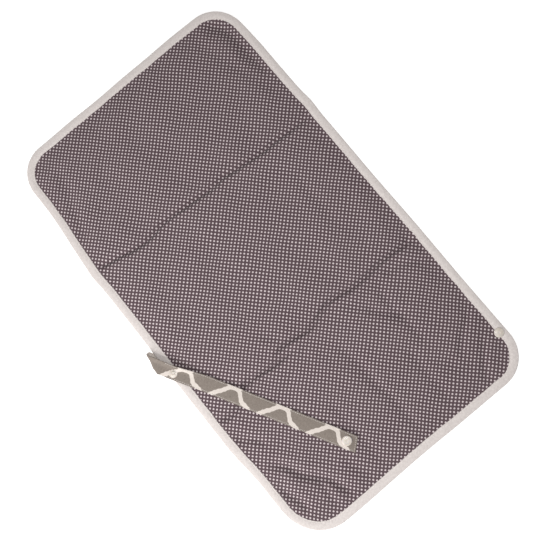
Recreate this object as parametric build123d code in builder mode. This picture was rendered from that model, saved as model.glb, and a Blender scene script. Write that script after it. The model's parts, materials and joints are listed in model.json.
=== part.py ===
"""A portable changing pad that folds in three and is held shut by a snap strap.

Millimetres. The origin is the middle of the pad's underside. +X runs across the pad, away from the strap,
+Y runs along it to the head end, and +Z is up. The pad is a sandwich of dotted top cover, padding,
waterproof liner and printed back cover, bound all round with bias tape. Each layer is cut at the two folds.
"""

import os
from math import atan2, cos, degrees, radians, sin

from build123d import *

os.makedirs("parts", exist_ok=True)

# The pad, and where it folds
pad_width = 356.0
pad_length = 610.0
pad_swell = 0.3  # how far the padded middle stands above the bound rim
corner_radius = 45.0
slack_corner_radius = 55.0  # the corner at the strap side of the foot end is cut rounder
head_fold_y = 115.0
foot_fold_y = -101.0
fold_gap = 1.0  # the slit left between two panels at a fold
fold_clearance = 1.5  # what is left between two layers that are folded together

# The layers, and the bound rim that they are pinched into
cover_thickness = 0.4
liner_thickness = 0.3
binding_thickness = 0.5
binding_width = 11.0
binding_edge_radius = 1.1
rim_core = 0.8  # padding left between the covers inside the rim
slope_run = 9.0  # how far the pad takes to swell from its rim to its full thickness
thread = 0.2
seam_width = 0.5
seam_from_binding_edge = 1.2

# The strap
strap_width = 20.0
strap_thickness = 0.8
strap_length = 269.6  # from the fold at its root to its free end
strap_angle = -60.6  # the way it lies on the pad, from +X
strap_root_angle = 213.6  # the way its root comes out from under the rim, from +X
strap_root_y = -11.4
strap_root_out = 6.2  # the fold at its root stands this far past the pad's edge
strap_past_binding = 1.0  # how far its root is tucked in past the binding
strap_gap = 0.3  # what is left between the strap, or a snap on it, and the pad
strap_seam_inset = 1.6
bar_tack_width = 1.6

# The press snaps
cap_radius = 6.2
cap_thickness = 1.5
cap_dome = 1.0
snap_radius = 5.35
socket_height = 2.2
stud_base_thickness = 0.9
stud_height = 2.0
post_radius = 2.1
post_clearance = 0.2
post_rounding = 0.3
prong_radius = 1.0
prong_clearance = 0.05
snap_clearance = 0.3
end_snap_from_root = 257.1
root_snap_from_root = 28.6
root_snap_aside = -3.4  # its middle is off the strap's, towards the pad's foot end
corner_snap_past_binding = 1.5  # how far its middle is out from the binding's inner edge
corner_snap_y_inset = 53.5

# Heights that follow. Under the rim there is room for the strap, and for the root snap's stud,
# which points down once the strap is opened out.
rim_height = strap_gap + strap_thickness + stud_height
rim_thickness = 2 * (binding_thickness + cover_thickness) + rim_core
rim_top = rim_height + rim_thickness
pad_thickness = rim_top + pad_swell
root_top = rim_height - strap_gap
root_low = root_top - strap_thickness
band_low = pad_thickness + strap_gap + socket_height
band_top = band_low + strap_thickness
strap_fold_z = (root_low + band_top) / 2
foot_fold_z = band_top + fold_clearance
folded_foot_back = 2 * foot_fold_z
head_fold_z = (folded_foot_back + fold_clearance + pad_thickness) / 2

# Places that follow
seam_inset = binding_width - seam_from_binding_edge
socket_depth = stud_height - stud_base_thickness + post_clearance
strap_tuck = binding_width + strap_past_binding
strap_fold = Vector(-pad_width / 2 - strap_root_out, strap_root_y)
strap_way = Vector(cos(radians(strap_angle)), sin(radians(strap_angle)))
root_way = Vector(cos(radians(strap_root_angle)), sin(radians(strap_root_angle)))
fold_line_angle = (strap_root_angle + strap_angle) / 2
fold_line = Vector(cos(radians(fold_line_angle)), sin(radians(fold_line_angle)))
outward = Vector(-fold_line.Y, fold_line.X)
strap_across = Vector(-strap_way.Y, strap_way.X)
end_snap = strap_fold + strap_way * end_snap_from_root
root_snap = strap_fold + strap_way * root_snap_from_root + strap_across * root_snap_aside
corner_snap_x = pad_width / 2 - binding_width + corner_snap_past_binding
corner_snap = Vector(corner_snap_x, corner_snap_y_inset - pad_length / 2)
seam_stop_radius = max(cap_radius, snap_radius) + snap_clearance  # where a seam stops at a snap
tall = 4 * pad_thickness


def save(name, solid):
    """Labels a finished piece and writes it."""
    solid.label = name
    export_step(solid, f"parts/{name}.step")


# ---------------------------------------------------------------- the pad's layers


def pad_outline(inset, height):
    """The pad's rounded outline, moved in from its edge."""
    with BuildSketch(Plane.XY.offset(height)) as outline:
        Rectangle(pad_width - 2 * inset, pad_length - 2 * inset)
        corners = sorted(outline.vertices(), key=lambda corner: corner.X + corner.Y)
        fillet(corners[1:], corner_radius - inset)
        slack = sorted(outline.vertices(), key=lambda corner: corner.X + corner.Y)[0]
        fillet(slack, slack_corner_radius - inset)
    return outline.sketch


def sandwich(skin):
    """The solid that lies inside a skin of that thickness: a full centre, pinched to a thin rim."""
    with BuildPart() as body:
        extrude(pad_outline(binding_width + skin, skin), amount=pad_thickness - 2 * skin)
        top = body.faces().sort_by(Axis.Z)[-1]
        chamfer(top.edges(), slope_run, pad_thickness - rim_top + binding_thickness, reference=top)
        bottom = body.faces().sort_by(Axis.Z)[0]
        chamfer(bottom.edges(), slope_run, rim_height + binding_thickness, reference=bottom)
        rim = pad_outline(binding_thickness, rim_height + binding_thickness + skin)
        extrude(rim, amount=rim_thickness - 2 * (binding_thickness + skin))
        # the corner snap's stud draws the pad in from below, and its prong goes right through
        with BuildSketch(Plane.XY.offset(rim_height + skin)):
            with Locations((corner_snap.X, corner_snap.Y)):
                Circle(snap_radius + snap_clearance + skin)
        extrude(amount=-tall, mode=Mode.SUBTRACT)
        with Locations((corner_snap.X, corner_snap.Y)):
            Hole(prong_radius + prong_clearance)
    return body.part


outer = sandwich(0)
inner = sandwich(cover_thickness)

with BuildPart() as covers:
    add(outer)
    add(inner, mode=Mode.SUBTRACT)
back_cover, top_cover = covers.solids().sort_by(Axis.Z)

with BuildPart() as padding:
    add(inner)
    add(inner.moved(Location((0, 0, liner_thickness))), mode=Mode.INTERSECT)

with BuildPart() as liner:
    add(inner)
    add(padding.part, mode=Mode.SUBTRACT)

# The bias tape is folded over the rim, and sewn down with one line of stitches near its inner edge
with BuildPart() as binding:
    extrude(pad_outline(0, rim_height), amount=rim_thickness)
    fillet(binding.edges().filter_by(Plane.XY), binding_edge_radius)
    extrude(pad_outline(binding_width, rim_height), amount=rim_thickness, mode=Mode.SUBTRACT)
    held = pad_outline(binding_thickness, rim_height + binding_thickness)
    extrude(held, amount=rim_thickness - 2 * binding_thickness, mode=Mode.SUBTRACT)
    with Locations((corner_snap.X, corner_snap.Y)):
        Hole(prong_radius + prong_clearance)

with BuildPart() as seam:
    for height in (rim_height - thread, rim_top):
        extrude(pad_outline(seam_inset - seam_width / 2, height), amount=thread)
        extrude(pad_outline(seam_inset + seam_width / 2, height), amount=thread, mode=Mode.SUBTRACT)
    with BuildSketch(Plane.XY.offset(-tall)):
        with Locations((corner_snap.X, corner_snap.Y)):
            Circle(seam_stop_radius)
    extrude(amount=2 * tall, mode=Mode.SUBTRACT)

# ---------------------------------------------------------------- the layers, cut at the folds

panels = {
    "head": (head_fold_y + fold_gap / 2, pad_length / 2),
    "middle": (foot_fold_y + fold_gap / 2, head_fold_y - fold_gap / 2),
    "foot": (-pad_length / 2, foot_fold_y - fold_gap / 2),
}
layers = {
    "top_cover": top_cover,
    "padding": padding.part,
    "liner": liner.part,
    "back_cover": back_cover,
    "binding_stitching": seam.part,
}


def cut(layer, x_range, y_range):
    """The part of a layer that lies between two lines each way."""
    with BuildPart() as piece:
        add(layer)
        with BuildSketch(Plane.XY.offset(-tall)):
            with Locations((sum(x_range) / 2, sum(y_range) / 2)):
                Rectangle(x_range[1] - x_range[0], y_range[1] - y_range[0])
        extrude(amount=2 * tall, mode=Mode.INTERSECT)
    return piece.part


full_width = (-pad_width / 2, pad_width / 2)
for panel, y_range in panels.items():
    for layer_name, layer in layers.items():
        save(f"{layer_name}_{panel}", cut(layer, full_width, y_range))
save("binding_head", cut(binding.part, full_width, panels["head"]))
save("binding_foot", cut(binding.part, full_width, panels["foot"]))
save("binding_left", cut(binding.part, (-pad_width / 2, 0), panels["middle"]))
save("binding_right", cut(binding.part, (0, pad_width / 2), panels["middle"]))

# ---------------------------------------------------------------- the strap

# The root comes out from under the rim, and the band is turned back over the pad from a soft bend.
# Both stop at the fold line, which lies evenly between their two ways.
fold_plane = Plane(origin=(strap_fold.X, strap_fold.Y, 0), x_dir=fold_line, z_dir=-outward)
fold_length = strap_width / sin(radians(fold_line_angle - strap_angle))
tuck_plane = Plane.YZ.offset(strap_tuck - pad_width / 2)
root_reach = strap_width + (strap_root_out + strap_tuck) / abs(root_way.X)

with BuildPart() as strap_root:
    with BuildSketch(Plane(origin=(strap_fold.X, strap_fold.Y, root_low), x_dir=root_way, z_dir=(0, 0, 1))):
        Rectangle(2 * root_reach, strap_width)
    extrude(amount=strap_thickness)
    split(bisect_by=fold_plane, keep=Keep.TOP)
    split(bisect_by=tuck_plane, keep=Keep.BOTTOM)
save("strap_root", strap_root.part)

tack_in = strap_root_out + strap_tuck / 2
with BuildPart() as strap_bar_tack:
    with BuildSketch(Plane.XY.offset(root_low - thread)):
        with Locations((strap_fold.X + tack_in, strap_fold.Y + tack_in * root_way.Y / root_way.X)):
            Rectangle(bar_tack_width, strap_width - 2 * strap_seam_inset)
    extrude(amount=thread)
save("strap_bar_tack", strap_bar_tack.part)

bend_end = strap_fold - fold_line * (fold_length / 2)
bend_plane = Plane(origin=(bend_end.X, bend_end.Y, strap_fold_z), x_dir=outward, z_dir=fold_line)
bend_radius = (band_top - root_low) / 2
with BuildPart() as strap_bend:
    with BuildSketch(bend_plane):
        Circle(bend_radius)
        Circle(bend_radius - strap_thickness, mode=Mode.SUBTRACT)
        with Locations((bend_radius / 2, 0)):
            Rectangle(bend_radius, 2 * bend_radius, mode=Mode.INTERSECT)
    extrude(amount=fold_length)
save("strap_bend", strap_bend.part)


def band_plane(height):
    """The plane of the band, with its local X along the strap from the fold at its root."""
    return Plane(origin=(strap_fold.X, strap_fold.Y, height), x_dir=strap_way, z_dir=(0, 0, 1))


band_start = fold_plane.offset(strap_gap)
band_end = Plane.XZ.offset(-foot_fold_y - fold_gap / 2)
tail_start = Plane.XZ.offset(-foot_fold_y + fold_gap / 2)

with BuildPart() as band:
    with BuildSketch(band_plane(band_low)):
        with Locations((strap_length / 2 - strap_width / 2, 0)):
            Rectangle(strap_length + strap_width, strap_width)
        with Locations((root_snap_from_root, root_snap_aside), (end_snap_from_root, 0)):
            Circle(prong_radius + prong_clearance, mode=Mode.SUBTRACT)
    extrude(amount=strap_thickness)
    split(bisect_by=band_start, keep=Keep.TOP)

# One line of edge stitching runs down both sides and across the free end
with BuildPart() as band_seam:
    for height in (band_low - thread, band_top):
        with BuildSketch(band_plane(height)):
            for edge in (strap_seam_inset - seam_width / 2, strap_seam_inset + seam_width / 2):
                with Locations(((strap_length - edge - strap_width) / 2, 0)):
                    Rectangle(
                        strap_length - edge + strap_width,
                        strap_width - 2 * edge,
                        mode=Mode.ADD if edge < strap_seam_inset else Mode.SUBTRACT,
                    )
        extrude(amount=thread)
    split(bisect_by=band_start, keep=Keep.TOP)
    with BuildSketch(Plane.XY.offset(-tall)):
        with Locations((root_snap.X, root_snap.Y)):
            Circle(seam_stop_radius)
    extrude(amount=2 * tall, mode=Mode.SUBTRACT)

for layer, band_name, tail_name in (
    (band.part, "strap_band", "strap_end"),
    (band_seam.part, "strap_band_stitching", "strap_end_stitching"),
):
    with BuildPart() as upper:
        add(layer)
        split(bisect_by=band_end, keep=Keep.BOTTOM)
    save(band_name, upper.part)
    with BuildPart() as lower:
        add(layer)
        split(bisect_by=tail_start, keep=Keep.TOP)
    save(tail_name, lower.part)

# ---------------------------------------------------------------- the press snaps


def seat(place, height, way):
    """The plane of the cloth that a snap piece sits against. Its +Z is the way the piece stands out."""
    return Plane(origin=(place.X, place.Y, height), x_dir=(1, 0, 0), z_dir=way)


def snap_cap(name, cloth, prong_length):
    """A domed cap, and its prong, which is pushed through the cloth and riveted over behind it."""
    with BuildPart() as cap:
        with BuildSketch(cloth):
            Circle(cap_radius)
        extrude(amount=cap_thickness)
        fillet(cap.edges().sort_by(Axis(cloth.origin, cloth.z_dir))[-1], cap_dome)
        with BuildSketch(cloth):
            Circle(prong_radius)
        extrude(amount=-prong_length)
    save(name, cap.part)


def snap_stud(name, cloth):
    """A stud: a round base against the cloth, and the post that the socket grips."""
    with BuildPart() as stud:
        for radius, height in ((snap_radius, stud_base_thickness), (post_radius, stud_height)):
            with BuildSketch(cloth):
                Circle(radius)
                Circle(prong_radius + prong_clearance, mode=Mode.SUBTRACT)
            extrude(amount=height)
        rim = stud.edges().group_by(Axis(cloth.origin, cloth.z_dir))[-1].sort_by(SortBy.RADIUS)[-1]
        fillet(rim, post_rounding)
    save(name, stud.part)


def snap_socket(name, cloth):
    """A socket: a round base against the cloth, with the mouth that grips a stud's post."""
    with BuildPart() as socket:
        with BuildSketch(cloth):
            Circle(snap_radius)
            Circle(prong_radius + prong_clearance, mode=Mode.SUBTRACT)
        extrude(amount=socket_height)
        with BuildSketch(cloth.offset(socket_height)):
            Circle(post_radius + post_clearance)
        extrude(amount=-socket_depth, mode=Mode.SUBTRACT)
    save(name, socket.part)


up, down = (0, 0, 1), (0, 0, -1)

# The strap's free end has its cap on top and its socket below
snap_cap("end_snap_cap", seat(end_snap, band_top, up), strap_thickness + socket_height - socket_depth)
snap_socket("end_snap_socket", seat(end_snap, band_low, down))

# Its root has them the other way up, so that the strap closes on itself round the rolled pad
snap_cap("root_snap_cap", seat(root_snap, band_low, down), strap_thickness + stud_base_thickness)
snap_stud("root_snap_stud", seat(root_snap, band_top, up))

# The loose snap at the foot end's corner goes through the bound rim
snap_cap("corner_snap_cap", seat(corner_snap, rim_top, up), rim_thickness + stud_base_thickness)
snap_stud("corner_snap_stud", seat(corner_snap, rim_height, down))

# ---------------------------------------------------------------- what the joints turn about

print("head fold: Y", head_fold_y, "Z", round(head_fold_z, 3))
print("foot fold: Y", foot_fold_y, "Z", round(foot_fold_z, 3))
print("strap fold: at", strap_fold, "Z", round(strap_fold_z, 3), "along", fold_line)
print("strap fold line", round(degrees(atan2(fold_line.Y, fold_line.X)), 3), "degrees from +X")
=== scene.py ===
"""A portable changing pad, lying open: dotted top, printed back, padding and a waterproof liner, bound all
round with bias tape. It folds in three, and a printed strap with press snaps holds it shut. Metres, in the
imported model's frame."""

import json
import math

import bpy
import numpy as np
from mathutils import Matrix, Vector


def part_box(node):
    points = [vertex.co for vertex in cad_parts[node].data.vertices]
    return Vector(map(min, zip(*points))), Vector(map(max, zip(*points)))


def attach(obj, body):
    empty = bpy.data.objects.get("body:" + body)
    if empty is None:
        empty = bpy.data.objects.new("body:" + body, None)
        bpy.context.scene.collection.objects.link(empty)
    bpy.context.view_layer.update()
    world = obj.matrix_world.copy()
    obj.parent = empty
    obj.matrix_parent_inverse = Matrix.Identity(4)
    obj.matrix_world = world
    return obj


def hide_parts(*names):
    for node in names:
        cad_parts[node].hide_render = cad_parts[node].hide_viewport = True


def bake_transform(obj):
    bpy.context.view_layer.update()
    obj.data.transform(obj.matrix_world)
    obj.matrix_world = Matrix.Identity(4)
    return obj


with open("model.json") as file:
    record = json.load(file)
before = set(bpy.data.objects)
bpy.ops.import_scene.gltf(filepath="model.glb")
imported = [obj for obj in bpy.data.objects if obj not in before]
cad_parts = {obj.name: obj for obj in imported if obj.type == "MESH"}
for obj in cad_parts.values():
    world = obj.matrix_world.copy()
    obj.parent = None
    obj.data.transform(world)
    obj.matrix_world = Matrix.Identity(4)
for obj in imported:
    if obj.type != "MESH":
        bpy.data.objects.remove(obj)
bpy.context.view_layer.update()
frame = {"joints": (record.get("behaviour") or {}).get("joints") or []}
mm = 0.001

# ---------------------------------------------------------------- the printed back cover
# The back is one piece of taupe cotton with a cream trellis, cut to the pad's outline. It lies flat on the
# table and rises at its edge, where it is pinched into the bound rim.

half_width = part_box("binding_right")[1].x
half_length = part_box("binding_head")[1].y
corner = 45 * mm
slack_corner = 55 * mm  # the corner at the strap side of the foot end is cut rounder
parting = 7 * mm  # each layer is made as a head side and a foot side, which meet here in the middle panel
rim_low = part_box("binding_right")[0].z
rim_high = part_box("binding_right")[1].z
pad_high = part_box("top_cover_middle")[1].z
tape_width = half_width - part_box("binding_right")[0].x
joints = {joint["name"]: joint for joint in frame["joints"]}
head_fold = Vector(joints["head_fold"]["pos_m"])
foot_fold = Vector(joints["foot_fold"]["pos_m"])
close_rows = np.arange(-22, 23) * mm  # rows of places to each side of a fold, the same in every layer
cover_inset = 2.5 * mm  # the covers are cut this much inside the bound outline


def waves(x, y, length, seed):
    """Uneven soft waves about as long as length, from about -1 to 1."""
    draw = np.random.default_rng(seed)
    total = 0 * x
    for turn, start, stretch in draw.uniform((0, 0, 0.7), (2 * math.pi, 2 * math.pi, 1.5), (7, 3)):
        along = (x * math.cos(turn) + y * math.sin(turn)) * stretch / length
        total = total + np.sin(2 * math.pi * along + start)
    return total / 3.5


def smooth(low, high, value):
    """0 below low, 1 above high, and an even swing between them."""
    share = np.clip((value - low) / (high - low), 0, 1)
    return share * share * (3 - 2 * share)


def hump(value, middle, reach):
    """1 at the middle, and fading to nothing at about twice the reach."""
    return np.exp(-(((value - middle) / reach) ** 2))


def in_from_edge(x, y):
    """How far a place is in from the pad's outline."""
    radius = np.where((x < 0) & (y < 0), slack_corner, corner)
    past_x = np.abs(x) - (half_width - radius)
    past_y = np.abs(y) - (half_length - radius)
    outside = np.hypot(np.maximum(past_x, 0), np.maximum(past_y, 0))
    return radius - outside - np.minimum(np.maximum(past_x, past_y), 0)


def laid(x, y):
    """Where the cut cloth's places come to lie. Sewing has drawn the long sides in near three corners and the
    head's end back at the left. The cloth stands out at the head fold and at the foot's end, and wanders."""
    near_edge = np.exp(-np.maximum(in_from_edge(x, y), 0) / (45 * mm))
    near_left, near_right = (np.exp(-gap / (70 * mm)) for gap in (half_width + x, half_width - x))
    near_head, near_foot = (np.exp(-gap / (75 * mm)) for gap in (half_length - y, half_length + y))
    left_corners = 7.2 * mm * smooth(130 * mm, 235 * mm, y) + 4.5 * mm * smooth(-145 * mm, -215 * mm, y)
    right_corner = 2.6 * mm * smooth(215 * mm, 285 * mm, y)
    drawn = left_corners * near_left - right_corner * near_right
    spread = 1.4 * mm * hump(y, 121 * mm, 15 * mm) * near_edge * np.sign(x)
    head_back = 3.2 * mm * smooth(110 * mm, -120 * mm, x) * near_head
    foot_out = 3.6 * mm * hump(x, -112 * mm, 75 * mm) * near_foot
    wander = 0.5 * mm * near_edge
    return (
        x + drawn + spread + wander * waves(x, y, 110 * mm, 3),
        y - (head_back + foot_out) + wander * waves(x, y, 120 * mm, 4),
    )


def cut_piece(inset, step, head_side):
    """A grid of places on one side's flat cut, drawn in at the corners to the rounded outline. Every layer
    has the same close rows where the pad folds, so that no layer comes through another there."""
    wide, long = half_width - inset, half_length - inset
    across = np.linspace(-wide, wide, round(2 * wide / step) + 1)
    close = (head_fold if head_side else foot_fold).y + close_rows
    ends = (parting, long) if head_side else (-long, parting)
    before, after = round((close[0] - ends[0]) / step), round((ends[1] - close[-1]) / step)
    rows_before = np.linspace(ends[0], close[0], before, endpoint=False)
    rows_after = np.linspace(ends[1], close[-1], after, endpoint=False)[::-1]
    x, y = np.meshgrid(across, np.concatenate([rows_before, close, rows_after]))
    radius = np.where((x < 0) & (y < 0), slack_corner, corner)
    past_x = np.maximum(np.abs(x) - (half_width - radius), 0)
    past_y = np.maximum(np.abs(y) - (half_length - radius), 0)
    both = np.minimum(past_x, past_y) > 0
    draw = np.where(both, 1 - np.maximum(past_x, past_y) / np.maximum(np.hypot(past_x, past_y), 1e-9), 0)
    return x - np.sign(x) * past_x * draw, y - np.sign(y) * past_y * draw


def back_height(x, y):
    """The outside of the back cover: flat on the table, with a few low folds, and up at the rim."""
    inset = in_from_edge(x, y)
    rise = (rim_low + 0.5 * mm) * (1 - smooth(tape_width, tape_width + 13 * mm, inset))
    low_folds = 0.25 * mm * np.clip(waves(x, y, 45 * mm, 11), 0, 1)
    return rise + low_folds * smooth(0, 30 * mm, inset)


def made_piece(name, places, faces, print_places):
    """A smooth piece of some places and faces, with the flat place of each place on the print."""
    mesh = bpy.data.meshes.new(name)
    mesh.from_pydata(places.reshape(-1, 3).tolist(), [], faces.tolist())
    mesh.shade_smooth()
    flat = mesh.attributes.new("print_place", "FLOAT_VECTOR", "POINT")
    flat.data.foreach_set("vector", print_places.astype(np.float32).ravel())
    piece = bpy.data.objects.new(name, mesh)
    bpy.context.scene.collection.objects.link(piece)
    return piece


def woven(name, places, print_places, looped=False, turned=False):
    """A piece of squares on a grid of places, closed round its columns where it is looped."""
    rows, columns = places.shape[:2]
    count = np.arange(rows * columns).reshape(rows, columns)
    if looped:
        count = np.concatenate([count, count[:, :1]], axis=1)
    squares = np.stack([count[:-1, :-1], count[:-1, 1:], count[1:, 1:], count[1:, :-1]], -1).reshape(-1, 4)
    return made_piece(name, places, squares[:, ::-1] if turned else squares, print_places)


def bend_at_fold(piece, head_side):
    """Bakes a finished piece of cloth's placing into its mesh, the same on either side of the fold."""
    if head_side:
        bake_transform(piece)
    else:
        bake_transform(piece)


class Wire:
    """One value or colour in a finish's node tree. Sums on a value are written as Python."""

    def __init__(self, tree, socket):
        self.tree, self.socket = tree, socket

    def node(self, kind, settings=None, inputs=None, out=0):
        """Adds a node: its settings first, then the values or wires of its sockets."""
        made = self.tree.nodes.new("ShaderNode" + kind)
        for name, value in (settings or {}).items():
            if name == "stops":
                for place, level in value[2:]:
                    made.color_ramp.elements.new(place)
                for element, (place, level) in zip(made.color_ramp.elements, sorted(value)):
                    element.position = place
                    element.color = (level, level, level, 1)
            elif name == "interpolation":
                made.color_ramp.interpolation = value
            else:
                setattr(made, name, value)
        for name, value in (inputs or {}).items():
            into = made.inputs[name] if isinstance(name, int) else next(
                one for one in made.inputs if name in (one.identifier, one.name)
            )
            if isinstance(value, Wire):
                self.tree.links.new(value.socket, into)
            else:
                into.default_value = value
        return Wire(self.tree, made.outputs[out])

    def sum(self, operation, first, second=0.0):
        return self.node("Math", {"operation": operation}, {0: first, 1: second})

    def __add__(self, other):
        return self.sum("ADD", self, other)

    __radd__ = __add__

    def __sub__(self, other):
        return self.sum("SUBTRACT", self, other)

    def __rsub__(self, other):
        return self.sum("SUBTRACT", other, self)

    def __mul__(self, other):
        return self.sum("MULTIPLY", self, other)

    __rmul__ = __mul__

    def __truediv__(self, other):
        return self.sum("DIVIDE", self, other)

    def __pow__(self, other):
        return self.sum("POWER", self, other)

    def __abs__(self):
        return self.sum("ABSOLUTE", self)

    def swing(self, low, high):
        """0 where this is below low, 1 above high, and even between."""
        ends = {"Value": self, "From Min": low, "From Max": high}
        return self.node("MapRange", {"interpolation_type": "SMOOTHSTEP"}, ends)

    def tint(self, low, high):
        """The colour low where this is 0, and high where it is 1. Either may be a wire."""
        colours = {"Factor_Float": self, "A_Color": low, "B_Color": high}
        mixed = self.node("Mix", {"data_type": "RGBA"}, colours)
        return Wire(self.tree, mixed.socket.node.outputs[2])


def paint(red, green, blue):
    """A colour as a screen gives it, from 0 to 255, as a finish needs it."""
    return tuple(((c / 255 + 0.055) / 1.055) ** 2.4 for c in (red, green, blue)) + (1.0,)


def new_finish(name, settings):
    """A material, its shader with some settings, and the wire of a flat place on the print in millimetres."""
    material = bpy.data.materials.new(name)
    material.use_nodes = True
    shader = material.node_tree.nodes["Principled BSDF"]
    for socket, value in settings.items():
        shader.inputs[socket].default_value = value
    start = Wire(material.node_tree, None)
    place = start.node("Attribute", {"attribute_name": "print_place"}, out=1)
    place = start.node("VectorMath", {"operation": "SCALE"}, {"Vector": place, "Scale": 1 / mm})
    return material, shader, place


def threads(place, pitch):
    """A plain weave: bumps in a chequer, pitch millimetres apart, and the slubs of the threads both ways."""
    across = place.node("SeparateXYZ", {}, {"Vector": place}, out=0)
    along = Wire(place.tree, across.socket.node.outputs[1])
    over = place.sum("SINE", across * (math.pi / pitch)) * place.sum("SINE", along * (math.pi / pitch))

    def slub(scale):
        drawn_out = place.node("VectorMath", {"operation": "MULTIPLY"}, {0: place, 1: scale})
        return place.node("TexNoise", {}, {"Vector": drawn_out, "Scale": 1.0, "Detail": 1.0})

    thick, long = 1 / pitch, 0.06 / pitch
    return over, slub((thick, long, 1)) + slub((long, thick, 1))


def dress(material, shader, colour, height, depth):
    """Wires a finish's colour, and the height of its surface as a bump of that depth."""
    colour.tree.links.new(colour.socket, shader.inputs["Base Color"])
    bump = height.node("Bump", {}, {"Height": height, "Strength": 1.0, "Distance": depth})
    height.tree.links.new(bump.socket, shader.inputs["Normal"])
    return material


# The trellis is one swung line, mirrored back and forth across the cloth, so that its rows close to ogee
# cells. Its places are in millimetres, along the strap from its fold and to the side of its middle.
trellis_length = 64.5
trellis_start = 74.6
trellis_low, trellis_high = -15.0, 8.1
trellis_line = [(74.6, -14.8), (79.0, -11.5), (83.0, -7.6), (87.4, -3.8), (93.0, 0.2), (97.2, 4.0)]
trellis_line += [(101.0, 7.0), (105.0, 8.0), (110.0, 7.9), (113.8, 5.6), (117.4, 0.1), (121.0, -4.7)]
trellis_line += [(126.8, -7.6), (131.5, -10.5), (134.8, -13.8)]
slope_reach = 0.8


def trellis(along, across):
    """How far a place on the cloth is from the trellis's line, in millimetres."""
    span = trellis_high - trellis_low
    folded = along.node("Math", {"operation": "PINGPONG"}, {0: across - trellis_low, 1: span}) + trellis_low
    stops = [((s - trellis_start) / trellis_length, (t - trellis_low) / span) for s, t in trellis_line]
    stops.append((1.0, stops[0][1]))
    settings = {"interpolation": "CARDINAL", "stops": stops}

    def repeat(share):
        return along.node("Math", {"operation": "FLOORED_MODULO"}, {0: share, 1: 1.0})

    part = repeat((along - trellis_start) / trellis_length)

    def line(shift):
        at = repeat(part + shift / trellis_length)
        return along.node("ValToRGB", settings, {"Fac": at}) * span + trellis_low

    slope = (line(slope_reach) - line(-slope_reach)) / (2 * slope_reach)
    return abs(folded - line(0.0)) / along.sum("SQRT", slope * slope + 1.0)


taupe, cream = paint(129, 119, 111), paint(217, 208, 200)
line_solid, line_gone = 2.4, 2.95  # the line is cream this near to its middle, and taupe this far, in mm


def printed_cotton(name, long_way):
    """Taupe cotton with the cream trellis along one way of the cloth."""
    gloss = {"Roughness": 0.88, "Sheen Weight": 0.15, "Specular IOR Level": 0.25}
    material, shader, place = new_finish(name, gloss)
    split = place.node("SeparateXYZ", {}, {"Vector": place})
    along, across = (Wire(place.tree, split.socket.node.outputs[n]) for n in long_way)
    fray = place.node("TexNoise", {}, {"Vector": place, "Scale": 1.3, "Detail": 3.0}) - 0.5
    line = 1 - (trellis(along, across) + fray * 0.9).swing(line_solid, line_gone)
    over, slubs = threads(place, 0.34)
    patch = place.node("TexNoise", {}, {"Vector": place, "Scale": 0.5, "Detail": 4.0})
    ground = (slubs * 0.5 + over * 0.12).swing(0.25, 0.8).tint(paint(105, 95, 88), paint(152, 142, 134))
    ground = (0.6 * patch.swing(0.35, 0.65)).tint(ground, taupe)
    ink = (slubs * 0.5).swing(0.3, 0.7).tint(paint(203, 193, 186), cream)
    height = over * 0.5 + slubs * 0.8 + line * 0.15
    return dress(material, shader, line.tint(ground, ink), height, 0.045 * mm)


back_print = printed_cotton("printed_cotton_back", (1, 0))
for head_side in (True, False):
    x, y = cut_piece(cover_inset, 3.4 * mm, head_side)
    side = "head" if head_side else "foot"
    lie_x, lie_y = laid(x, y)
    places = np.stack([lie_x, lie_y, back_height(x, y)], -1)
    back = woven(f"back_cover_{side}_side", places, np.stack([x, y, 0 * x], -1), turned=True)
    back.data.materials.append(back_print)
    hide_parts(f"back_cover_{side}", "back_cover_middle")
    bend_at_fold(back, head_side)

# ---------------------------------------------------------------- the liner and the padding
# A white laminated film cloth keeps the back dry, and a thin sheet of white wadding lies on it. Both are cut
# to the outline and caught in the bound rim, so they show only where a cover is lifted.

filling_inset = 4 * mm
liner_lift = 0.6 * mm  # off the outside of the back cover, as is the wadding's underside
wadding_lift = 0.8 * mm
wadding_least = 0.2 * mm
crease_fade = 0.16  # the share of a crease's length in which it fades out at each end
lip_place, lip_reach = 2.6, 1.7  # how far out a crease's lips stand, and how wide, in widths of the crease
marks = []  # the dotted top's creases and wrinkles: for each its line, its depth, its width and its lips


def crease(points, depth, width, lips=0.12):
    """Adds a crease, pressed in along a smooth line through some points, in millimetres. Its lips are the low
    ridges beside it, as a share of its depth."""
    points = np.array(points, float) * mm
    ends = np.concatenate([[2 * points[0] - points[1]], points, [2 * points[-1] - points[-2]]])
    line = []
    for before, start, end, after in zip(ends, ends[1:], ends[2:], ends[3:]):
        for share in np.linspace(0, 1, 6, endpoint=False):
            pull = (end - before) * share + (2 * before - 5 * start + 4 * end - after) * share**2
            line.append(start + (pull + (3 * start - before - 3 * end + after) * share**3) / 2)
    marks.append((np.array(line + [points[-1]]), depth * mm, width * mm, lips))


# The creases where the pad is always folded, each a sharp groove in a wide hollow. The foot's is in two runs
head_crease = [(-185, 129), (-160, 127), (-135, 122), (-108, 116.5), (-45, 120), (0, 114.5), (30, 117)]
head_crease += [(50, 113), (90, 111), (140, 108), (185, 109)]
foot_crease = [(-75, -104), (-45, -99), (0, -100), (35, -91), (70, -96), (110, -94), (150, -95), (185, -90)]
strap_side_crease = [(-185, -119), (-140, -121), (-115, -105), (-80, -107), (-30, -111)]
for points in (head_crease, foot_crease, strap_side_crease):
    crease(points, depth=5.0, width=2.5)
    crease(points, depth=0.8, width=9.0, lips=0.0)
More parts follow.
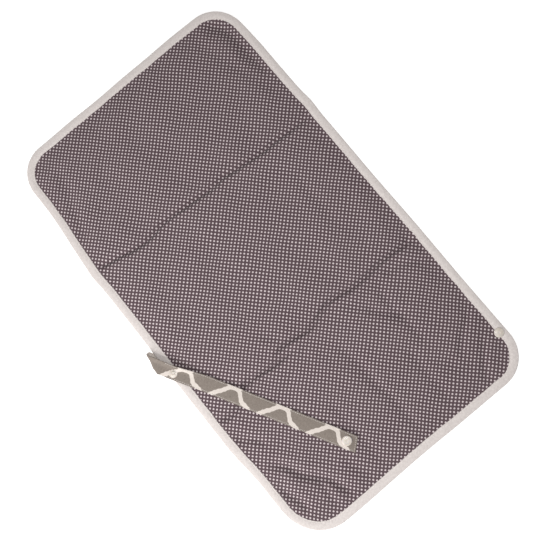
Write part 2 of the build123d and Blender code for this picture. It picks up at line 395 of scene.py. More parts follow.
# What is left of rolling, and of the strap's pull, in the foot panel
crease([(-157, -196), (-137, -214), (-120, -239), (-103, -260), (-90, -292)], 3.5, 5.2)
crease([(-166, -150), (-150, -160), (-135, -178)], 2.4, 5.2)
crease([(-164, -226), (-155, -248), (-147, -272)], 2.9, 5.0)
crease([(-132, -88), (-114, -101), (-97, -107)], 2.4, 5.5, 0.0)
crease([(-117, -244), (-118, -288)], 1.3, 4.6)
crease([(-76, -246), (-60, -290)], 1.1, 6.0)
crease([(-46, -180), (-42, -232), (-40, -290)], 0.9, 6.0)
crease([(8, -130), (12, -180), (17, -235), (22, -288)], 1.1, 5.5)
crease([(-98, -146), (-72, -137), (-45, -128), (-20, -124)], 1.2, 5.0)
crease([(60, -124), (76, -142), (92, -158), (108, -160)], 1.6, 5.0)
crease([(86, -118), (90, -150), (94, -212)], 1.2, 5.5)
crease([(70, -190), (71, -288)], 0.9, 6.5)
crease([(112, -246), (134, -226), (160, -206)], 1.7, 5.0)
crease([(116, -288), (134, -264), (154, -240)], 1.5, 5.0)
crease([(104, -108), (134, -113), (158, -126)], 1.5, 4.4)
crease([(-62, -68), (-40, -91)], 0.9, 5.0)
# The middle and head panels are smoother
crease([(101, 64), (104, 10), (106, -25), (122, -52)], 0.45, 7.0)
crease([(-128, 275), (-140, 235), (-150, 195), (-158, 165)], 1.9, 8.0)
crease([(-45, 262), (-78, 234), (-100, 206)], 1.1, 7.0)
crease([(-108, 187), (-122, 170), (-142, 150)], 1.0, 7.0)
crease([(112, 290), (128, 235), (146, 178), (158, 150)], 0.9, 8.0)
crease([(146, 296), (158, 264), (166, 228), (170, 175)], 3.4, 14.0, 0.0)


def pressed(x, y):
    """How much lower, or at a crease's lips higher, the top lies than without its creases."""
    x, y = x + 1.3 * mm * waves(x, y, 55 * mm, 21), y + 1.3 * mm * waves(x, y, 50 * mm, 22)
    total = 0 * x
    for line, depth, width, lips in marks:
        nearest = np.full(x.shape, np.inf)
        place = 0 * x
        for number, (start, end) in enumerate(zip(line, line[1:])):
            run = end - start
            share = np.clip(((x - start[0]) * run[0] + (y - start[1]) * run[1]) / (run @ run), 0, 1)
            away = np.hypot(x - start[0] - share * run[0], y - start[1] - share * run[1])
            closer = away < nearest
            nearest = np.where(closer, away, nearest)
            place = np.where(closer, (number + share) / (len(line) - 1), place)
        ends = smooth(0, crease_fade, place) * smooth(0, crease_fade, 1 - place)
        lip = lips * hump(nearest, lip_place * width, lip_reach * width)
        total = total + depth * ends * (lip - hump(nearest, 0, width))
    return total


strap_end_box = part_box("end_snap_socket")
strap_fold = Vector(joints["strap_flip"]["pos_m"])
strap_end = (strap_end_box[0] + strap_end_box[1]) / 2
strap_way = Vector((strap_end.x - strap_fold.x, strap_end.y - strap_fold.y, 0)).normalized()
strap_across = Vector((-strap_way.y, strap_way.x, 0))


def on_strap(x, y):
    """How far along the strap from its fold a place of the pad is, and how far to the side of its middle."""
    east, north = x - strap_fold.x, y - strap_fold.y
    return east * strap_way.x + north * strap_way.y, east * strap_across.x + north * strap_across.y


past_end_snap = 12.5 * mm  # from the end snap's middle to the strap's free end
strap_length = on_strap(strap_end.x, strap_end.y)[0] + past_end_snap


def below_strap(x, y, reach):
    """1 below the strap's middle, fading to nothing beside the strap and at its ends."""
    along, aside = on_strap(x, y)
    return smooth(-30 * mm, 0, along) * smooth(0, 25 * mm, strap_length - along) * hump(aside, 0, reach)


top_loft = 0.75 * mm  # how much higher the loose top swells than a flat one
layers_room = 1.8 * mm  # what the layers below a crease need above the back


def top_height(x, y):
    """The outside of the dotted top: swelled inside its rim, creased, and pressed a little by the strap."""
    inset = in_from_edge(x, y)
    gathers = 0.22 * mm * waves(x, y, 13 * mm, 31) * hump(inset, tape_width, 13 * mm)
    swell = smooth(tape_width - 1 * mm, tape_width + 26 * mm, inset)
    rim = rim_high - 0.5 * mm
    loft = (pad_high + top_loft - rim) * swell + 0.35 * mm * waves(x, y, 85 * mm, 32) * swell
    free = rim + loft + gathers + pressed(x, y) * smooth(tape_width - 1 * mm, tape_width + 9 * mm, inset)
    # A crease goes no deeper than the layers below it leave room for
    free = np.maximum(free, np.minimum(back_height(x, y) + layers_room, rim))
    return free + (np.minimum(free, pad_high - 0.1 * mm) - free) * below_strap(x, y, 13 * mm)


def plain_cloth(name, low, high, pitch, settings):
    """An undyed cloth: two near colours that the threads and a soft mottle mix."""
    material, shader, place = new_finish(name, settings)
    over, slubs = threads(place, pitch)
    mottle = place.node("TexNoise", {}, {"Vector": place, "Scale": 0.35, "Detail": 4.0})
    colour = (slubs * 0.35 + over * 0.08 + mottle * 0.35).swing(0.32, 0.78).tint(low, high)
    return dress(material, shader, colour, over * 0.5 + slubs * 0.8, 0.05 * mm)


film_gloss = {"Roughness": 0.35, "Coat Weight": 0.3}
film = plain_cloth("liner_film", paint(226, 230, 232), paint(244, 246, 247), 0.5, film_gloss)
wadding, shader, place = new_finish("wadding", {"Roughness": 0.95, "Sheen Weight": 0.4})
tangle = {"Vector": place, "Scale": 0.5, "Detail": 6.0, "Roughness": 0.75, "Distortion": 1.5}
fibres = place.node("TexNoise", {}, tangle)
white = fibres.swing(0.3, 0.7).tint(paint(225, 225, 222), paint(248, 248, 246))
dress(wadding, shader, white, fibres, 0.6 * mm)

for head_side in (True, False):
    side = "head" if head_side else "foot"
    x, y = cut_piece(filling_inset, 4.5 * mm, head_side)
    lie_x, lie_y = laid(x, y)
    back_top = back_height(x, y)
    flat = np.stack([x, y, 0 * x], -1)
    places = np.stack([lie_x, lie_y, back_top + liner_lift], -1)
    liner = woven(f"liner_{side}_side", places, flat, turned=True)
    liner.data.materials.append(film)
    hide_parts(f"liner_{side}", "liner_middle")
    bend_at_fold(liner, head_side)
    # The wadding is a closed slab: its top follows the cover above it, and its underside lies on the liner
    inner = smooth(0, 12 * mm, in_from_edge(x, y) - filling_inset)
    pinched = 0.55 * np.minimum(pressed(x, y), 0) - 0.6 * mm * smooth(0, 0.8 * mm, -pressed(x, y))
    lower = back_top + wadding_lift
    upper = np.maximum(top_height(x, y) + pinched - (0.8 + 0.6 * inner) * mm, lower + wadding_least)
    upper, lower = (np.stack([lie_x, lie_y, height], -1) for height in (upper, lower))
    slab = np.concatenate([upper, lower[:, ::-1]], 1)
    pad = woven(f"padding_{side}_side", slab, np.concatenate([flat, flat[:, ::-1]], 1), looped=True)
    pad.data.materials.append(wadding)
    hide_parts(f"padding_{side}", "padding_middle")
    bend_at_fold(pad, head_side)

# ---------------------------------------------------------------- the dotted top cover
# The top is one piece of plum brown cotton, printed all over with small pale dots on the bias. It is held
# down only at the rim and along the creases, and lies loose over the wadding between them.

settling_frames = 18
spare_cloth = 0.003  # the share by which the cloth is larger than its room
most_moved = 0.3 * mm


def let_go(places, held, growth):
    """How far a cloth that is held at some places moves when it has a little more cloth than room."""
    piece = woven("loose_cloth", places, places)
    group = piece.vertex_groups.new(name="held")
    for number in np.flatnonzero(held.ravel() > 0.02):
        group.add([int(number)], float(held.ravel()[number]), "REPLACE")
    cloth = piece.modifiers.new("cloth", "CLOTH").settings
    cloth.quality = 6
    cloth.mass = 0.15
    cloth.tension_stiffness = cloth.compression_stiffness = 12
    cloth.shear_stiffness = 4
    cloth.bending_stiffness = 0.4
    cloth.shrink_min = -growth
    cloth.vertex_group_mass = group.name
    cloth.effector_weights.gravity = 0
    for number in range(1, settling_frames + 1):
        bpy.context.scene.frame_set(number)
    settled = piece.evaluated_get(bpy.context.evaluated_depsgraph_get()).to_mesh()
    moved = np.zeros(places.size, np.float32)
    settled.vertices.foreach_get("co", moved)
    bpy.data.objects.remove(piece)
    bpy.context.scene.frame_set(1)
    return moved.reshape(places.shape) - places


def finer(field, rows, columns):
    """A field on a coarse grid, spread evenly over a finer one."""
    down, over = np.linspace(0, field.shape[0] - 1, rows), np.linspace(0, field.shape[1] - 1, columns)
    tall = np.array([np.interp(down, np.arange(field.shape[0]), field[:, n]) for n in range(field.shape[1])])
    return np.array([np.interp(over, np.arange(field.shape[1]), tall[:, n]) for n in range(rows)])


dots_gloss = {"Roughness": 0.9, "Sheen Weight": 0.12, "Specular IOR Level": 0.2}
dots, shader, place = new_finish("dotted_cotton", dots_gloss)
# One dot's place, and the steps from it to the next dot of each of its two rows, in millimetres
dot_first, dot_right, dot_left = (67.1, 115.4), (3.126, -3.2005), (-3.123, -2.995)
dot_solid, dot_gone = 0.98, 1.28
cell = dot_right[0] * dot_left[1] - dot_right[1] * dot_left[0]
east = place.node("SeparateXYZ", {}, {"Vector": place})
north = Wire(place.tree, east.socket.node.outputs[1])
east, north = east - dot_first[0], north - dot_first[1]
row = (east * dot_left[1] - north * dot_left[0]) / cell
column = (north * dot_right[0] - east * dot_right[1]) / cell
row, column = (count - place.sum("ROUND", count) for count in (row, column))
away = place.sum("SQRT", (row * math.hypot(*dot_right)) ** 2.0 + (column * math.hypot(*dot_left)) ** 2.0)
fray = place.node("TexNoise", {}, {"Vector": place, "Scale": 1.7, "Detail": 3.0}) - 0.5
dot = 1 - (away + fray * 0.35).swing(dot_solid, dot_gone)
over, slubs = threads(place, 0.3)
worn = place.node("TexNoise", {}, {"Vector": place, "Scale": 0.03, "Detail": 4.0})
ground = (slubs * 0.5 + over * 0.12).swing(0.2, 0.85).tint(paint(70, 55, 60), paint(98, 81, 86))
ground = (worn.swing(0.3, 0.7) * 0.35).tint(ground, paint(92, 77, 81))
ink = (slubs * 0.5).swing(0.25, 0.75).tint(paint(193, 180, 181), paint(213, 202, 202))
dress(dots, shader, dot.tint(ground, ink), over * 0.5 + slubs * 0.8 + dot * 0.12, 0.045 * mm)

sides = {}
for head_side in (True, False):
    x, y = cut_piece(cover_inset, 2.4 * mm, head_side)
    lie_x, lie_y = laid(x, y)
    sides[head_side] = [x, y, lie_x, lie_y, top_height(x, y)]
# Both sides settle as one cloth, because they are one
foot, head = sides[False], sides[True]
whole = [np.concatenate([a, b[1:]]) for a, b in zip(foot, head)]
coarse = [field[::2, ::2] for field in whole]
inset = in_from_edge(coarse[0], coarse[1])
in_rim = 1 - smooth(tape_width, tape_width + 3 * mm, inset)
in_crease = 0.6 * smooth(0.8 * mm, 1.8 * mm, -pressed(coarse[0], coarse[1]))
moved = let_go(np.stack(coarse[2:], -1), np.clip(in_rim + in_crease, 0, 1), spare_cloth)
clear = 1 - 0.9 * below_strap(coarse[0], coarse[1], 14 * mm)
moved = most_moved * np.tanh(moved / most_moved)
shift = [finer(moved[..., n] * clear, *whole[0].shape) for n in range(3)]
seam = foot[0].shape[0] - 1
for n in range(3):
    foot[2 + n] = foot[2 + n] + shift[n][: seam + 1]
    head[2 + n] = head[2 + n] + shift[n][seam:]
for head_side, (x, y, lie_x, lie_y, height) in sides.items():
    side = "head" if head_side else "foot"
    # The cloth is stretched a little unevenly, so the dots' rows aren't quite straight
    print_x = x + 0.5 * mm * waves(x, y, 60 * mm, 41)
    print_y = y + 0.5 * mm * waves(x, y, 65 * mm, 42)
    stretched = np.stack([print_x, print_y, 0 * x], -1)
    top = woven(f"top_cover_{side}_side", np.stack([lie_x, lie_y, height], -1), stretched)
    top.data.materials.append(dots)
    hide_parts(f"top_cover_{side}", "top_cover_middle")
    bend_at_fold(top, head_side)

# ---------------------------------------------------------------- the bias tape that binds the edge
# Off-white cotton tape, cut on the bias, is folded round the rim and sewn through all the layers just inside
# its own edge. It puckers a little at the seam, and more where it is eased round the corners.

seam_inset = tape_width - 1.2 * mm
tape_crown = 0.3 * mm
tape_roll = 1.3 * mm
rim_stitch = 3.0 * mm
thread_sunk = 0.12 * mm


def edge_run(head_side, step):
    """Places round one side's edge at even steps, anticlockwise, and which way is out at each."""
    turns = ((1, 1, 0), (-1, 1, 90)) if head_side else ((-1, -1, 180), (1, -1, 270))
    start = 1 if head_side else -1
    corners = [(start * half_width, parting, start, 0)]
    for side_x, side_y, first in turns:
        radius = slack_corner if side_x < 0 and side_y < 0 else corner
        for turn in np.radians(np.linspace(first, first + 90, 25)):
            out_x, out_y = math.cos(turn), math.sin(turn)
            place_x = side_x * (half_width - radius) + radius * out_x
            place_y = side_y * (half_length - radius) + radius * out_y
            corners.append((place_x, place_y, out_x, out_y))
    corners.append((-start * half_width, parting, -start, 0))
    run = np.array(corners)
    way = np.concatenate([[0], np.cumsum(np.hypot(*np.diff(run[:, :2], axis=0).T))])
    even = np.linspace(0, way[-1], round(way[-1] / step) + 1)
    return np.stack([np.interp(even, way, run[:, n]) for n in range(4)], -1), even


def tape_section():
    """The tape's section from its upper edge, round the outside, to its lower edge: inset and height."""
    upper = [(tape_width, rim_high - 0.6 * mm), (tape_width + 0.06 * mm, rim_high - 0.3 * mm)]
    upper += [(tape_width - 0.2 * mm, rim_high - 0.04 * mm), (tape_width - 0.6 * mm, rim_high)]
    upper += [(seam_inset + 0.25 * mm, rim_high - 0.1 * mm), (seam_inset, rim_high - 0.16 * mm)]
    upper += [(seam_inset - 0.25 * mm, rim_high - 0.1 * mm), (seam_inset - 0.7 * mm, rim_high + 0.02 * mm)]
    for inset in np.linspace(seam_inset - 2 * mm, tape_roll, 5):
        crown = math.sin(math.pi * (inset - tape_roll) / (seam_inset - tape_roll))
        upper.append((inset, rim_high + tape_crown * crown))
    middle = (rim_high + rim_low) / 2
    half = rim_high - middle
    turns = np.radians((15, 35, 55, 75, 90))
    roll = [(tape_roll * (1 - math.sin(turn)), middle + half * math.cos(turn)) for turn in turns]
    lower = [(inset, 2 * middle - height) for inset, height in reversed(upper + roll[:-1])]
    return np.array(upper + roll + lower)


tape_gloss = {"Roughness": 0.85, "Sheen Weight": 0.2, "Specular IOR Level": 0.25}
tape_finish = plain_cloth("bias_tape", paint(196, 187, 184), paint(224, 217, 213), 0.42, tape_gloss)


thread_radius = 0.17 * mm
thread_sides = 6
# Half a stitch, from where it leaves the cloth: its place as a share of the pitch, its girth, its lift in mm
half_stitch = [(-0.42, 0.25, -0.14), (-0.36, 0.8, 0.0), (-0.15, 1.0, 0.1)]


def stitches(name, line, ups, pitch, material):
    """A row of stitches along a line. Each stands up in its middle and dives into the cloth at its ends."""
    way = np.concatenate([[0], np.cumsum(np.linalg.norm(np.diff(line, axis=0), axis=1))])
    middles = np.arange(pitch / 2, way[-1], pitch)
    centre = np.stack([np.interp(middles, way, line[:, n]) for n in range(3)], -1)
    ahead = np.stack([np.interp(middles + 0.3 * pitch, way, line[:, n]) for n in range(3)], -1)
    forward = ahead - centre
    forward /= np.maximum(np.linalg.norm(forward, axis=1, keepdims=True), 1e-9)
    up = np.stack([np.interp(middles, way, ups[:, n]) for n in range(3)], -1)
    aside = np.cross(forward, up)
    rings = half_stitch + [(-share, girth, lift) for share, girth, lift in half_stitch[::-1]]
    shape = []
    for share, girth, lift in rings:
        for turn in np.radians(np.arange(thread_sides) * 360 / thread_sides):
            off_x, off_z = thread_radius * girth * math.cos(turn), thread_radius * girth * math.sin(turn)
            shape.append((share * pitch, off_x, off_z + lift * mm))
    shape = np.array(shape)
    places = centre[:, None] + forward[:, None] * shape[:, :1]
    places = places + aside[:, None] * shape[:, 1:2] + up[:, None] * shape[:, 2:]
    one = []
    for ring in range(0, len(shape) - thread_sides, thread_sides):
        for spot in range(thread_sides):
            beside = (spot + 1) % thread_sides
            one.append((ring + spot, ring + beside, ring + thread_sides + beside, ring + thread_sides + spot))
    faces = (np.array(one)[None] + np.arange(len(middles))[:, None, None] * len(shape)).reshape(-1, 4)
    piece = made_piece(name, places, faces, places)
    piece.data.materials.append(material)
    return piece


thread_finish, shader, place = new_finish("sewing_thread", {"Roughness": 0.6, "Sheen Weight": 0.3})
bands = {"wave_type": "BANDS", "bands_direction": "DIAGONAL"}
twist = place.node("TexWave", bands, {"Vector": place, "Scale": 1.6, "Distortion": 0.5}, out=1)
dress(thread_finish, shader, twist.tint(paint(222, 213, 208), paint(244, 239, 234)), twist, 0.04 * mm)

for head_side in (True, False):
    side = "head" if head_side else "foot"
    run, way = edge_run(head_side, 1.6 * mm)
    section = tape_section()
    # 1 along the straight edges, rising to more in the corners
    turning = np.hypot(*np.gradient(run[:, 2:], axis=0).T) > 1e-6
    ease = 1 + 1.4 * np.clip(np.convolve(turning, np.ones(21) / 21, "same"), 0, 1)[:, None]
    inset = section[:, 0] + 0 * way[:, None]
    height = section[:, 1] + 0 * way[:, None]
    hem = smooth(seam_inset - 1 * mm, tape_width, inset)
    body = smooth(0, 3 * mm, inset) * smooth(0, 3 * mm, seam_inset + 0.8 * mm - inset)
    pucker = waves(way[:, None] + 0 * inset, inset * 2.5, 5.5 * mm, 51 + head_side)
    slow = waves(way[:, None] + 0 * inset, inset, 38 * mm, 61 + head_side)
    # Both sides' tapes are plain at their ends, where they meet
    join = (smooth(0, 12 * mm, way) * smooth(0, 12 * mm, way[-1] - way))[:, None]
    upper = np.sign(height - (rim_low + rim_high) / 2)
    height = height + upper * (0.10 * mm * pucker * ease + 0.12 * mm * slow) * body * join
    inset = inset + (0.14 * mm * pucker * ease + 0.3 * mm * slow) * hem * join
    x = run[:, :1] - run[:, 2:3] * inset
    y = run[:, 1:2] - run[:, 3:4] * inset
    lie_x, lie_y = laid(x, y)
    around = np.concatenate([[0], np.cumsum(np.hypot(*np.diff(section, axis=0).T))])
    # A tape cut on the bias has its threads at 45 degrees to its edge
    flat_u, flat_v = way[:, None] + 0 * x, around[None] + 0 * x
    flat = np.stack([(flat_u + flat_v) * math.sqrt(0.5), (flat_v - flat_u) * math.sqrt(0.5), 0 * x], -1)
    tape = woven(f"binding_{side}_side", np.stack([lie_x, lie_y, height], -1), flat, turned=True)
    tape.data.materials.append(tape_finish)
    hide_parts(f"binding_{side}", "binding_left", "binding_right")
    bend_at_fold(tape, head_side)
    for face, level in (("upper", rim_high - thread_sunk), ("lower", rim_low + thread_sunk)):
        line_x, line_y = laid(run[:, 0] - run[:, 2] * seam_inset, run[:, 1] - run[:, 3] * seam_inset)
        line = np.stack([line_x, line_y, 0 * line_x + level], -1)
        ups = np.array([(0, 0, 1.0 if face == "upper" else -1.0)] * len(line))
        sewn = stitches(f"binding_stitches_{side}_{face}", line, ups, rim_stitch, thread_finish)
        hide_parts(f"binding_stitching_{side}", "binding_stitching_middle")
        bend_at_fold(sewn, head_side)

# ---------------------------------------------------------------- the strap
# A doubled band of the back cover's print, top-stitched along both edges. Its root is sewn in under the rim
# with a bar tack, comes out past the edge, and turns back over the pad in a loose bend.

half_strap = 10 * mm
half_thick = 0.4 * mm
root_level = (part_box("strap_root")[0].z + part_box("strap_root")[1].z) / 2
band_level = (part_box("strap_band")[0].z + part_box("strap_band")[1].z) / 2
fold_line = Vector(joints["strap_flip"]["axis"])
fold_out = Vector((-fold_line.y, fold_line.x, 0))
bend_radius = (band_level - root_level) / 2
bend_length = math.pi * bend_radius
# How far a step along the strap, and one across it, go in from the fold's line, and along that line
away_step, away_side = -strap_way.dot(fold_out), -strap_across.dot(fold_out)
slide_step, slide_side = strap_way.dot(fold_line), strap_across.dot(fold_line)
root_snap = on_strap(*((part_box("root_snap_cap")[0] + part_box("root_snap_cap")[1]) / 2).xy)[0]
end_snap = on_strap(strap_end.x, strap_end.y)[0]
end_slant = 0.2  # the free end is cut a little aslant
sag_depth = 1.55 * mm
droop_depth = 0.9 * mm
loop_lift = 3.0 * mm
loop_drawn = 2.6 * mm
set_over = 1.2 * mm
strap_stitch = 2.6 * mm


def strap_place(along, aside, off):
    """A place on the strap: along it from its fold, to the side of its middle, and off its middle layer."""
    aslant = along - end_slant * aside * smooth(strap_length - 30 * mm, strap_length, along)
    past = away_step * aslant + away_side * aside
    turn = np.clip(math.pi + past / bend_radius, 0, math.pi)
    beyond, before = np.maximum(past, 0), np.minimum(past + bend_length, 0)
    # The bend bulges out most just outside the strap's middle, and about half as far at its edges
    loose = 0.9 - 0.35 * aside / half_strap - 0.75 * smooth(-3 * mm, -10 * mm, aside)
    out = bend_radius * np.sin(turn) * loose - beyond + before
    down = np.where(past > -bend_length / 2, beyond / away_step, -before / away_step)
    slide = slide_step * down + (slide_side - slide_step * away_side / away_step) * aside
    sag = sag_depth * smooth(root_snap + 10 * mm, root_snap + 85 * mm, along)
    sag = sag * smooth(7 * mm, 50 * mm, end_snap - along)
    droop = droop_depth * smooth(end_snap + 4 * mm, strap_length, along)
    ripple = 0.18 * mm * waves(along, aside, 55 * mm, 71) * smooth(10 * mm, 40 * mm, past)
    # Near its fold the band's inner edge stands up and is drawn in, which opens the loop, and the whole band
    # is set over a little the same way
    opened = smooth(0.35 * math.pi, math.pi, turn) * smooth(75 * mm, 25 * mm, along)
    lifted = loop_lift * opened * smooth(1 * mm, 10 * mm, aside)
    drawn = opened * (-set_over - loop_drawn * smooth(0, 10 * mm, aside))
    level = (band_level + root_level) / 2 - bend_radius * np.cos(turn) - sag - droop + ripple + lifted
    out = out + off * np.sin(turn)
    place_x = strap_fold.x + fold_line.x * slide + fold_out.x * out + strap_across.x * drawn
    place_y = strap_fold.y + fold_line.y * slide + fold_out.y * out + strap_across.y * drawn
    return np.stack([place_x, place_y, level - off * np.cos(turn)], -1)


seam_from_edge = 1.6 * mm
stitch_aside = half_strap - seam_from_edge
# Places across half the band, closest together at its edge and at its stitching
side_steps = np.array([10, 9.93, 9.75, 9.4, 8.9, 8.62, 8.4, 8.18, 7.9, 6.6, 4.4, 2.2, 0]) * mm
side_steps = np.concatenate([-side_steps[:-1], side_steps[::-1]])


def strap_mesh(name, alongs):
    """A closed band with soft edges, pulled in along its stitching."""
    loop = np.concatenate([side_steps, side_steps[::-1]])
    face = np.repeat([1.0, -1.0], len(side_steps))
    edge = np.sqrt(np.clip(1 - ((np.abs(loop) - (half_strap - half_thick)).clip(0) / half_thick) ** 2, 0, 1))
    along, aside = np.meshgrid(alongs, loop, indexing="ij")
    pulled = 0.13 * mm * hump(np.abs(aside), stitch_aside, 0.4 * mm)
    pulled = pulled * smooth(2 * mm, 5 * mm, strap_length - along)
    plump = 0.12 * mm * np.sin(math.pi * np.clip(np.abs(aside) / stitch_aside, 0, 1) * 0.5 + math.pi / 2)
    off = face[None] * (half_thick * edge[None] - pulled + plump * edge[None])
    places = strap_place(along, aside, off)
    closing = strap_place(alongs[-1], np.zeros(len(loop)) + loop, 0 * loop)
    places = np.concatenate([places, closing[None]])
    along, aside = (np.concatenate([field, field[-1:]]) for field in (along, aside))
    flat = np.stack([along, aside, np.zeros_like(along)], -1)
    return woven(name, places, flat, looped=True, turned=True)


strap_print = printed_cotton("printed_cotton_strap", (0, 1))
reach = bend_length / away_step
root_end = -reach - 22 * mm
band_start = 13 * mm  # the strap is made in two pieces, which meet this far past its fold
root_steps = np.append(np.arange(root_end, band_start, 0.9 * mm), band_start)
end_steps = strap_length - np.array([0.7, 0.3, 0.08, 0]) * mm
band_steps = np.append(np.arange(band_start, end_steps[0], 1.5 * mm), end_steps)
root_piece = strap_mesh("strap_root_and_bend", root_steps)
band_piece = strap_mesh("strap_band_and_end", band_steps)
for piece in (root_piece, band_piece):
    piece.data.materials.append(strap_print)
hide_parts("strap_root", "strap_bend")
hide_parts("strap_band", "strap_end")

end_seam = strap_length - seam_from_edge
long_run = np.arange(band_start + 1.5 * mm, end_seam, 1 * mm)
short_run = np.linspace(stitch_aside, -stitch_aside, 18)
seam = [(along, stitch_aside) for along in long_run]
seam += [(end_seam, aside) for aside in short_run]
seam += [(along, -stitch_aside) for along in long_run[::-1]]
along, aside = np.array(seam).T
band_sewing = []
for face, off in (("upper", half_thick), ("lower", -half_thick)):
    up = np.array([0, 0, math.copysign(1, off)])
    line = strap_place(along, aside, off - 0.05 * mm * up[2])
    sewn = stitches(f"strap_stitches_{face}", line, np.tile(up, (len(along), 1)), strap_stitch, thread_finish)
    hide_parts("strap_band_stitching", "strap_end_stitching")
    band_sewing.append(sewn)
for piece in [band_piece] + band_sewing:
    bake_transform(piece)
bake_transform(root_piece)

tack_low, tack_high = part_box("strap_bar_tack")
tack_step = 0.45 * mm
tack_stitch = 1.7 * mm
zigzag = []
for n in range(round((tack_high.y - tack_low.y) / tack_step)):
    zigzag.append((tack_high.x if n % 2 else tack_low.x, tack_low.y + n * tack_step, tack_low.z))
tack_ups = np.array([(0, 0, -1.0)] * len(zigzag))
tack = stitches("strap_bar_tack_thread", np.array(zigzag), tack_ups, tack_stitch, thread_finish)
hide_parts("strap_bar_tack")
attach(tack, "middle")

# ---------------------------------------------------------------- the press snaps
# Cream moulded plastic. Each is a domed cap, whose prong goes through the cloth, and a stud or a socket that
# the prong is riveted over. The strap has one near each end, and the foot end's corner has the third.

snap_gloss = {"Roughness": 0.32, "IOR": 1.5, "Subsurface Weight": 0.08, "Coat Weight": 0.15}
snap_finish, shader, place = new_finish("snap_plastic", snap_gloss)
object_place = place.node("TexCoord", {}, out=3)
flow = place.node("TexNoise", {}, {"Vector": object_place, "Scale": 260.0, "Detail": 3.0})
scuff = place.node("TexNoise", {}, {"Vector": object_place, "Scale": 1500.0, "Detail": 2.0})
place.tree.links.new((scuff * 0.2 + 0.22).socket, shader.inputs["Roughness"])
snap_cream = flow.swing(0.3, 0.7).tint(paint(201, 188, 177), paint(215, 202, 192))
dress(snap_finish, shader, snap_cream, scuff, 0.01 * mm)


round_steps = 64


def turned_piece(name, profile, node, up, seat):
    """A moulded round piece, turned from its profile of radius and height off the cloth."""
    low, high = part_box(node)
    centre = (low + high) / 2
    around = np.linspace(0, 2 * math.pi, round_steps, endpoint=False)
    rows = []
    for radius, height in profile:
        ring_x = centre.x + radius * mm * np.cos(around)
        ring_y = centre.y + radius * mm * np.sin(around)
        rows.append(np.stack([ring_x, ring_y, np.full(len(around), seat + up * height * mm)], -1))
    places = np.array(rows)
    piece = woven(name, places, places, looped=True, turned=up < 0)
    piece.data.materials.append(snap_finish)
    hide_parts(node)
    return piece


# Each profile is in millimetres, from the middle of its seat on the cloth, round the rim, to the face's middle
cap_profile = [(0.01, -0.3), (5.6, -0.3), (6.0, -0.1), (6.2, 0.25), (6.14, 0.6), (5.9, 0.9), (5.4, 1.12)]
cap_profile += [(4.9, 1.2), (4.6, 1.17), (4.4, 1.2), (3.4, 1.38), (2.2, 1.48), (1.2, 1.5), (1.0, 1.46)]
cap_profile += [(0.8, 1.36), (0.4, 1.33), (0.01, 1.33)]
stud_profile = [(0.01, -0.2), (5.1, -0.2), (5.35, 0.1), (5.3, 0.35), (5.0, 0.5), (4.2, 0.5), (3.7, 0.62)]
stud_profile += [(3.3, 0.86), (2.5, 0.9), (2.05, 0.98), (1.9, 1.2), (2.0, 1.5), (2.1, 1.72), (2.0, 1.93)]
stud_profile += [(1.7, 2.0), (1.3, 1.98), (1.1, 1.8), (0.9, 1.62), (0.01, 1.58)]
socket_profile = [(0.01, -0.2), (5.1, -0.2), (5.35, 0.1), (5.3, 0.4), (4.9, 0.62), (4.5, 0.8), (4.35, 1.3)]
socket_profile += [(4.2, 2.0), (4.0, 2.18), (3.5, 2.2), (2.7, 2.14), (2.35, 2.0), (2.22, 1.7), (2.4, 1.3)]
socket_profile += [(2.4, 0.95), (1.4, 0.9), (1.2, 1.05), (0.01, 1.1)]
band_top, band_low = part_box("strap_band")[1].z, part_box("strap_band")[0].z
for name, profile, up, seat, body in (
    ("end_snap_cap", cap_profile, 1, band_top, "strap_tail"),
    ("end_snap_socket", socket_profile, -1, band_low, "strap_tail"),
    ("root_snap_cap", cap_profile, -1, band_low, "strap"),
    ("root_snap_stud", stud_profile, 1, band_top, "strap"),
    ("corner_snap_cap", cap_profile, 1, rim_high, "foot"),
    ("corner_snap_stud", stud_profile, -1, rim_low, "foot"),
):
    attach(turned_piece(name + "_moulded", profile, name, up, seat), body)

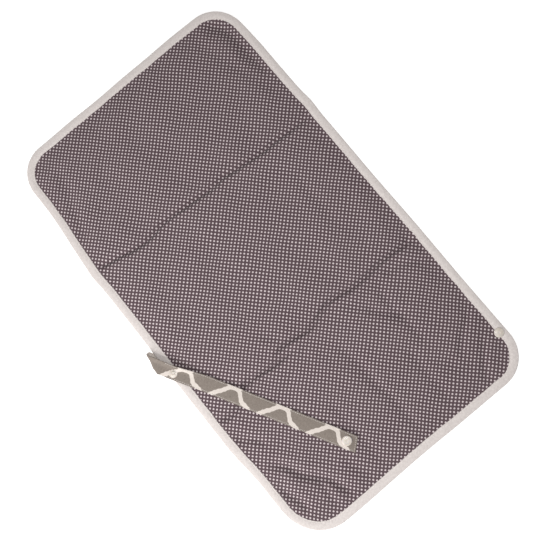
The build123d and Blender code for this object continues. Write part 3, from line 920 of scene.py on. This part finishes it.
# ---------------------------------------------------------------- the table, the light and the camera
# A plain white table, a broad soft light low over the strap's side with a weaker one overhead, and the view
# from almost straight above.

table_reach = 3.0
table_level = -0.3 * mm
corners = ((-1, -1), (1, -1), (1, 1), (-1, 1))
table_corners = [(x * table_reach, y * table_reach, table_level) for x, y in corners]
table_mesh = bpy.data.meshes.new("table")
table_mesh.from_pydata(table_corners, [], [(0, 1, 2, 3)])
table = bpy.data.objects.new("table", table_mesh)
bpy.context.scene.collection.objects.link(table)
table_look = {"Roughness": 0.7, "Base Color": (0.93, 0.93, 0.93, 1.0)}
table_look |= {"Emission Color": (1.0, 1.0, 1.0, 1.0), "Emission Strength": 0.4}
table_mesh.materials.append(new_finish("white_table", table_look)[0])

world = bpy.data.worlds.new("room")
world.use_nodes = True
sky = world.node_tree.nodes["Background"].inputs
sky["Color"].default_value = (1.0, 0.995, 0.985, 1.0)
sky["Strength"].default_value = 0.33
bpy.context.scene.world = world
lights = [("window", (-0.95, -0.3, 0.6), 0.6, 12.3), ("lamp", (0.03, -0.05, 1.0), 0.35, 4.0)]
for name, place, size, power in lights:
    lamp = bpy.data.lights.new(name, "AREA")
    lamp.shape, lamp.size, lamp.energy = "SQUARE", size, power
    light = bpy.data.objects.new(name, lamp)
    bpy.context.scene.collection.objects.link(light)
    light.location = place
    light.rotation_euler = (-Vector(place)).to_track_quat("-Z", "Y").to_euler()

lens = bpy.data.cameras.new("camera")
lens.lens, lens.sensor_width = 50, 36
camera = bpy.data.objects.new("camera", lens)
bpy.context.scene.collection.objects.link(camera)
back_of_view = Vector((-0.01204, -0.11851, 0.99288)).normalized()
up_in_view = Vector((0.63373, 0.76716, 0.09925))
right_in_view = up_in_view.cross(back_of_view).normalized()
up_in_view = back_of_view.cross(right_in_view)
stand = Matrix((right_in_view, up_in_view, back_of_view)).transposed().to_4x4()
stand.translation = (-9.296 * mm, -136.066 * mm, 953.657 * mm)
camera.matrix_world = stand
bpy.context.scene.camera = camera
bpy.context.scene.view_settings.view_transform = "Standard"
